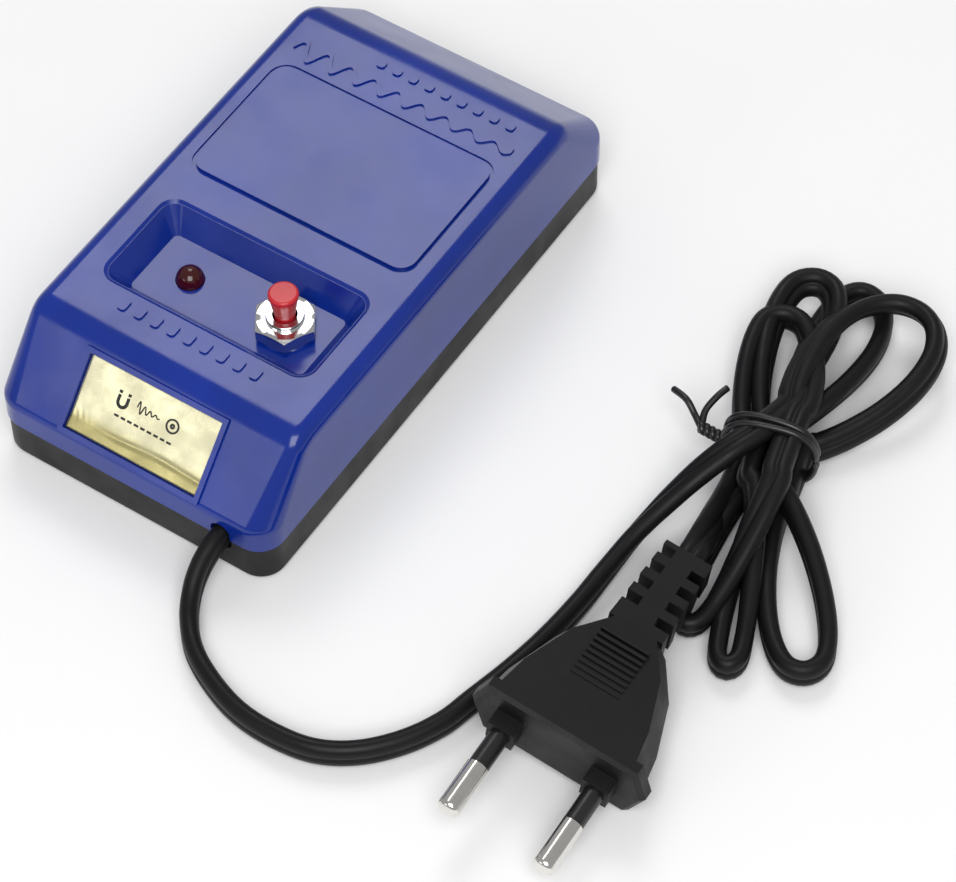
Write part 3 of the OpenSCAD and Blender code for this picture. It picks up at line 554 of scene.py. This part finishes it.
softbox("over_top", mirrored(Vector((0, 0, 1))), 1.0, (0.42, 0.42), 3.6, (0, 0.005, 0.0275))
softbox("before_slope", mirrored(slope_normal), 0.9, (0.32, 0.2), 1.9, label_centre * MM)
softbox("by_camera", back, 1.25, (0.8, 0.8), 5.2, (0.04, 0, 0))

world = bpy.data.worlds.new("studio")
world.use_nodes = True
world.node_tree.nodes["Background"].inputs["Color"].default_value = (1, 1, 1, 1)
world.node_tree.nodes["Background"].inputs["Strength"].default_value = 0.38
bpy.context.scene.world = world
bpy.context.scene.view_settings.view_transform = "Standard"

FLOOR_HALF = 2500
floor = mesh_piece(
    "floor",
    [(x * FLOOR_HALF, y * FLOOR_HALF, 0) for x, y in ((-1, -1), (1, -1), (1, 1), (-1, 1))],
    [(0, 1, 2, 3)],
    smooth=False,
)

# ---------- Materials ----------


class Surface:
    """A node material with one Principled shader, built up by the methods that follow."""

    def __init__(self, name, **sockets):
        self.material = bpy.data.materials.new(name)
        self.material.use_nodes = True
        self.tree = self.material.node_tree
        self.shader = self.tree.nodes["Principled BSDF"]
        for socket, value in sockets.items():
            self.shader.inputs[socket.replace("_", " ")].default_value = value
        self.place = self.tree.nodes.new("ShaderNodeTexCoord").outputs["Object"]
        self.height = None

    def stretched(self, scale):
        """Object coordinates scaled per axis."""
        node = self.tree.nodes.new("ShaderNodeMapping")
        node.inputs["Scale"].default_value = scale
        self.tree.links.new(self.place, node.inputs["Vector"])
        return node.outputs["Vector"]

    def noise(self, scale, detail=4, rough=0.55, where=None):
        node = self.tree.nodes.new("ShaderNodeTexNoise")
        node.inputs["Scale"].default_value = scale
        node.inputs["Detail"].default_value = detail
        node.inputs["Roughness"].default_value = rough
        self.tree.links.new(where or self.place, node.inputs["Vector"])
        return node.outputs["Fac"]

    def along(self, direction):
        """How far a point lies along a direction, in the object's own metres."""
        node = self.tree.nodes.new("ShaderNodeVectorMath")
        node.operation = "DOT_PRODUCT"
        node.inputs[1].default_value = direction
        self.tree.links.new(self.place, node.inputs[0])
        return node.outputs["Value"]

    def ramp(self, value, low, high, to_low=0.0, to_high=1.0):
        node = self.tree.nodes.new("ShaderNodeMapRange")
        for name, number in (
            ("From Min", low), ("From Max", high), ("To Min", to_low), ("To Max", to_high),
        ):  # fmt: skip
            node.inputs[name].default_value = number
        self.tree.links.new(value, node.inputs["Value"])
        return node.outputs["Result"]

    def colours(self, factor, first, second):
        """Base colour that runs from first to second with the factor."""
        node = self.tree.nodes.new("ShaderNodeMix")
        node.data_type = "RGBA"
        node.inputs["A"].default_value = (*first, 1)
        node.inputs["B"].default_value = (*second, 1)
        self.tree.links.new(factor, node.inputs["Factor"])
        self.tree.links.new(node.outputs["Result"], self.shader.inputs["Base Color"])
        return node.outputs["Result"]

    def roughness(self, value, smooth, rough):
        out = self.ramp(value, 0.35, 0.65, smooth, rough)
        self.tree.links.new(out, self.shader.inputs["Roughness"])

    def bump(self, value, depth_mm, strength=1.0):
        """Adds relief of that depth on top of the relief that is already there."""
        node = self.tree.nodes.new("ShaderNodeBump")
        node.inputs["Strength"].default_value = strength
        node.inputs["Distance"].default_value = depth_mm * MM
        self.tree.links.new(value, node.inputs["Height"])
        if self.height:
            self.tree.links.new(self.height, node.inputs["Normal"])
        self.height = node.outputs["Normal"]
        self.tree.links.new(self.height, self.shader.inputs["Normal"])


def plastic(name, colour, gloss=(0.3, 0.45), shade=0.8, grain=900, depth=0.01, **sockets):
    """Moulded plastic: faint cloudy tone, uneven gloss and a fine skin."""
    surface = Surface(name, **sockets)
    surface.colours(
        surface.ramp(surface.noise(55, 3), 0.35, 0.65), [c * shade for c in colour], colour
    )
    surface.roughness(surface.noise(120, 5), *gloss)
    surface.bump(surface.noise(grain, 3, 0.6), depth)
    return surface


def metal(name, colour, gloss=(0.12, 0.3), streak=(1, 1, 30), depth=0.004, **sockets):
    """Plated or bare metal with fine tool marks across the streak's long axis."""
    surface = Surface(name, Metallic=1.0, **sockets)
    marks = surface.noise(260, 4, 0.6, surface.stretched(streak))
    surface.colours(surface.noise(300, 3), [c * 0.82 for c in colour], colour)
    surface.roughness(marks, *gloss)
    surface.bump(marks, depth)
    return surface


def coat(names, surface):
    for name in names.split():
        piece = bpy.data.objects[name]
        piece.data.materials.clear()
        piece.data.materials.append(surface.material)


blue = plastic("blue_gloss", (0.003, 0.026, 0.28), gloss=(0.14, 0.22), depth=0.004, grain=500)
blue.bump(blue.noise(45, 2), 0.05)
coat("top_cover", blue)
grey = plastic(
    "grey_shell", (0.005, 0.005, 0.0055), gloss=(0.4, 0.55), grain=2500, depth=0.03, Specular_IOR_Level=0.32
)
coat("base_tray", grey)

foil = Surface("label_foil", Metallic=0.68)
# Painted shade: the foil's colour runs from a darker olive-gold below the fold up to cream a little above
# it, standing in for the shade of the buckled lower edge
fold_at = label_centre.dot(slope_up) + FOLD_Y
painted_fold_shade = foil.ramp(foil.along(slope_up), (fold_at - 0.3) * MM, (fold_at + FOLD_SHADE_SPAN) * MM)
foil.colours(painted_fold_shade, (0.54, 0.48, 0.21), (0.76, 0.72, 0.48))
foil.roughness(foil.noise(200, 4), 0.2, 0.34)
foil.bump(foil.noise(300, 5, 0.6), 0.03)
coat("foil_label", foil)
coat("label_print", plastic("print_ink", (0.02, 0.02, 0.022), gloss=(0.5, 0.7)))

cord_skin = plastic(
    "cord_skin", (0.008, 0.008, 0.008), gloss=(0.36, 0.52), grain=700, depth=0.02, Specular_IOR_Level=0.2
)
cord_skin.bump(cord_skin.noise(140, 2), 0.12)
coat("flex_cord cord_inner", cord_skin)

plug_skin = plastic(
    "plug_skin", (0.004, 0.004, 0.004), gloss=(0.45, 0.62), grain=2200, depth=0.035, Specular_IOR_Level=0.3
)
coat("plug_body plug_relief", plug_skin)
coat("pin_sleeves tie_wire", plastic("sleeve_plastic", (0.012, 0.012, 0.012), gloss=(0.25, 0.4)))
coat("plug_pins", metal("pin_nickel", (0.86, 0.84, 0.8), gloss=(0.1, 0.2), streak=(1, 20, 1), depth=0.0006))

chrome = metal("nut_chrome", (0.8, 0.81, 0.82), gloss=(0.1, 0.16), depth=0.0006)
coat("switch_nut switch_washer switch_bushing", chrome)
coat("button_cap", plastic("button_red", (0.62, 0.02, 0.03), gloss=(0.22, 0.35), depth=0.008))

lamp = plastic("lamp_epoxy", (0.08, 0.003, 0.004), gloss=(0.05, 0.1), depth=0.002)
lamp.shader.inputs["Transmission Weight"].default_value = 0.35
coat("indicator_led", lamp)

steel = metal("zinc_steel", (0.6, 0.61, 0.62), gloss=(0.2, 0.4))
coat("housing_screws core_bracket_front core_bracket_rear core_bolts core_nuts core_screws", steel)
coat("led_leads clamp_screws return_spring", steel)
coat("core_laminations", metal("blued_steel", (0.17, 0.18, 0.2), gloss=(0.35, 0.55), streak=(1, 40, 1)))
coat("coil_terminals switch_terminals contact_bridge", metal("plain_brass", (0.75, 0.55, 0.24)))
coat("coil_winding", metal("copper_wire", (0.6, 0.22, 0.08), gloss=(0.25, 0.4), streak=(1, 1, 60)))
coat("coil_bobbin", plastic("natural_nylon", (0.75, 0.7, 0.55)))
coat("cord_clamp", plastic("white_nylon", (0.75, 0.75, 0.73)))
coat("coil_tape", plastic("yellow_tape", (0.75, 0.5, 0.06), gloss=(0.15, 0.3)))
coat("led_resistor", plastic("resistor_lacquer", (0.5, 0.36, 0.2)))
coat("led_diode", plastic("diode_epoxy", (0.02, 0.02, 0.02), gloss=(0.2, 0.35)))
coat("switch_body button_plunger", plastic("switch_phenolic", (0.02, 0.02, 0.022), gloss=(0.4, 0.55)))
coat("wire_live wire_switched", plastic("brown_vinyl", (0.12, 0.045, 0.02)))
coat("wire_neutral", plastic("blue_vinyl", (0.02, 0.08, 0.4)))
coat("wire_lamp_feed wire_lamp_return", plastic("red_vinyl", (0.45, 0.02, 0.015)))

backdrop = Surface("studio_floor")
backdrop.colours(backdrop.noise(3, 2), (0.95, 0.95, 0.95), (0.97, 0.97, 0.97))
backdrop.roughness(backdrop.noise(40, 3), 0.5, 0.62)
coat("floor", backdrop)

# ---------- What rides on what ----------

for piece in (cord, tie, label, label_print):
    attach(piece, BODY)
